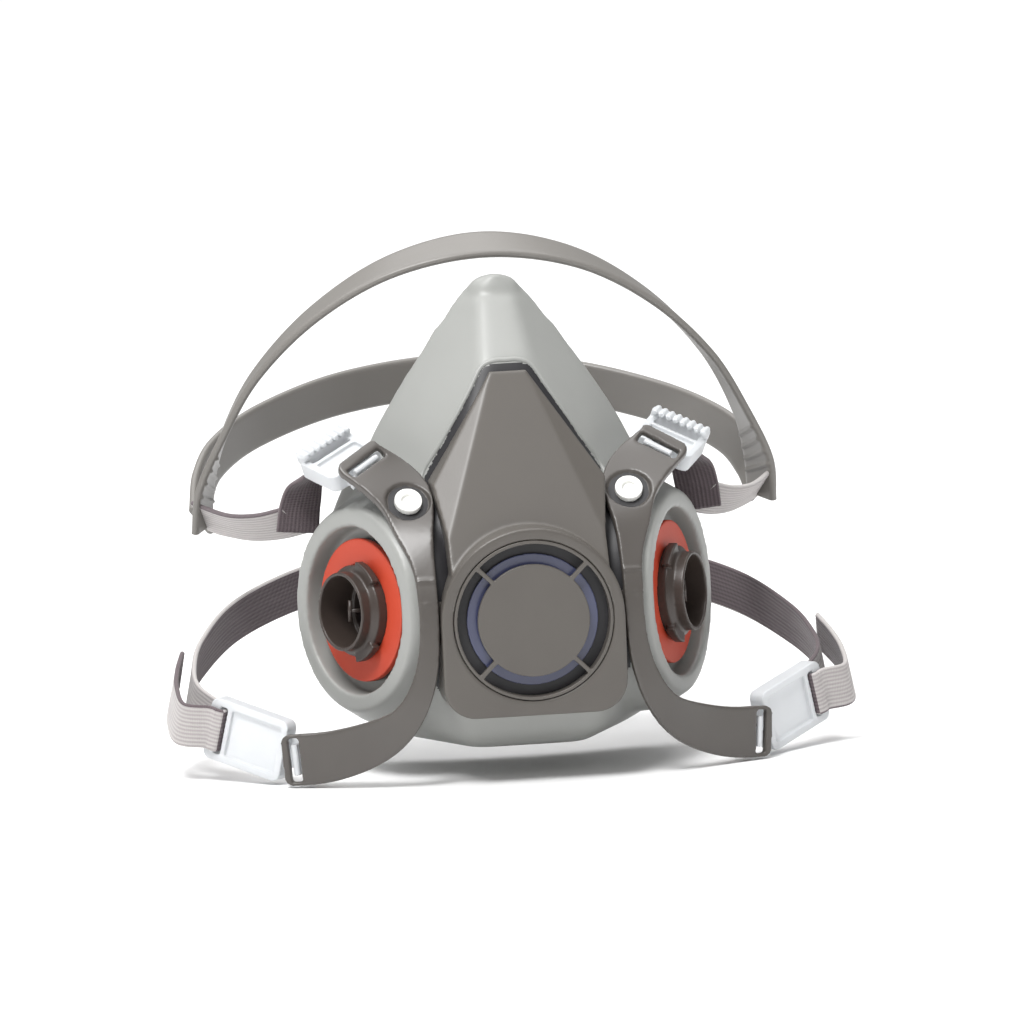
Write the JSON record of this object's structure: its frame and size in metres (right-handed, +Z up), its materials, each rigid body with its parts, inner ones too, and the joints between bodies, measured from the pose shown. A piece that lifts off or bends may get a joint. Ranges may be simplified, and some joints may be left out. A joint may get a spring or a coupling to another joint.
{
  "type": "respirator",
  "caption": "Half-face respirator with a soft facepiece, faceted front plate, filter ports, exhalation valve, yoke, strap locks, neck strap and head cradle",
  "frame": {"origin": "middle of the face seal", "axes": "+X across the face, +Y towards the wearer, +Z up"},
  "size_m": [0.1996, 0.1571, 0.1471],
  "materials": {
    "facepiece_elastomer": "matte light grey moulded elastomer",
    "shield_plastic": "dark warm grey moulded plastic",
    "port_plastic": "very dark brown-grey plastic",
    "gasket_rubber": "orange-red rubber",
    "valve_silicone": "thin bluish silicone",
    "buckle_plastic": "translucent white plastic",
    "stud_plastic": "off-white plastic",
    "webbing": "ribbed elastic webbing",
    "cradle_elastomer": "smooth taupe-grey elastomer",
    "clasp_plastic": "dark grey plastic"
  },
  "bodies": {
    "mask": {"facepiece": "facepiece_elastomer", "front_plate": "shield_plastic", "valve_cover": "shield_plastic", "exhalation_valve_seat": "port_plastic", "harness_yoke": "shield_plastic", "left_port_insert": "port_plastic", "right_port_insert": "port_plastic", "left_port_gasket": "gasket_rubber", "right_port_gasket": "gasket_rubber", "left_harness_stud": "stud_plastic", "right_harness_stud": "stud_plastic"},
    "exhalation_flap": {"exhalation_valve_flap": "valve_silicone"},
    "left_intake_flap": {"left_inhalation_flap": "valve_silicone"},
    "right_intake_flap": {"right_inhalation_flap": "valve_silicone"},
    "left_neck_side": {"left_lower_buckle": "buckle_plastic", "left_neck_strap": "webbing", "neck_clasp_hook": "clasp_plastic"},
    "right_neck_side": {"right_lower_buckle": "buckle_plastic", "right_neck_strap": "webbing", "neck_clasp_loop": "clasp_plastic"},
    "head_harness": {"head_cradle": "cradle_elastomer", "left_upper_strap": "webbing", "right_upper_strap": "webbing", "left_upper_strap_end": "webbing", "right_upper_strap_end": "webbing", "left_upper_buckle": "buckle_plastic", "right_upper_buckle": "buckle_plastic"}
  },
  "joints": [
    {"name": "exhalation_lift", "type": "slide", "parent": "mask", "child": "exhalation_flap", "axis": [0, -1, 0], "range_m": [0, 0.0011], "stiffness_N_per_m": 20},
    {"name": "left_intake_lift", "type": "slide", "parent": "mask", "child": "left_intake_flap", "axis": [0.8927, 0.449, -0.0401], "range_m": [0, 0.0014], "stiffness_N_per_m": 20},
    {"name": "right_intake_lift", "type": "slide", "parent": "mask", "child": "right_intake_flap", "axis": [-0.8927, 0.449, -0.0401], "range_m": [0, 0.0014], "stiffness_N_per_m": 20},
    {"name": "left_neck_swing", "type": "hinge", "parent": "mask", "child": "left_neck_side", "pos_m": [-0.0661, -0.0402, -0.0607], "axis": [-0.0737, 0.0398, 0.9965], "range_deg": [0, 40]},
    {"name": "right_neck_swing", "type": "hinge", "parent": "mask", "child": "right_neck_side", "pos_m": [0.0661, -0.0402, -0.0607], "axis": [-0.0737, -0.0398, -0.9965], "range_deg": [0, 40]},
    {"name": "cradle_swing", "type": "hinge", "parent": "mask", "child": "head_harness", "pos_m": [0, -0.0311, 0.0205], "axis": [1, 0, 0], "range_deg": [0, 16]}
  ]
}
